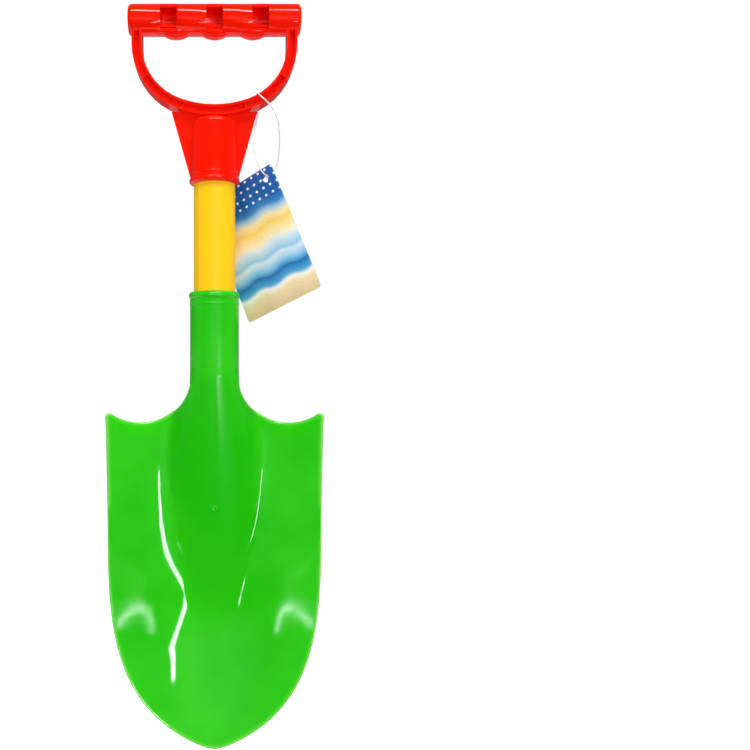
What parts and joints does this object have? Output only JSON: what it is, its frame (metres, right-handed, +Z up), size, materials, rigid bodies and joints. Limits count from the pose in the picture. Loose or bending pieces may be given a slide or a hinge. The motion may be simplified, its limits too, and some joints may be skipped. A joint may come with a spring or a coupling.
{
  "type": "toy sand shovel",
  "caption": "Child's plastic sand shovel with a D-shaped grip, a tube shaft and a dished spade blade with a raised spine, carrying a card hang tag on a filament loop.",
  "frame": {"origin": "middle of the grip bar, on its axis", "axes": "+Z up along the shaft towards the grip, +X along the grip bar to the right seen from the blade's hollow side, +Y away from the hollow side"},
  "size_m": [0.135, 0.0421, 0.4594],
  "materials": {
    "blade_plastic": "glossy moulded polypropylene, green",
    "shaft_plastic": "satin extruded plastic, golden yellow",
    "handle_plastic": "glossy moulded polypropylene, red",
    "tag_card": "printed gloss card",
    "loop_filament": "natural translucent nylon filament"
  },
  "bodies": {
    "shovel": {"blade": "blade_plastic", "shaft": "shaft_plastic", "handle": "handle_plastic"},
    "loop": {"tag_loop": "loop_filament", "loop_lock": "loop_filament"},
    "tag": {"hang_tag": "tag_card"}
  },
  "joints": [
    {"name": "loop_swing", "type": "hinge", "parent": "shovel", "child": "loop", "pos_m": [0.0262, 0, -0.0469], "axis": [0, -1, 0], "range_deg": [0, 45]},
    {"name": "tag_swing", "type": "hinge", "parent": "loop", "child": "tag", "pos_m": [0.032, 0, -0.0955], "axis": [0.515, 0.8572, 0], "range_deg": [-30, 30]}
  ]
}
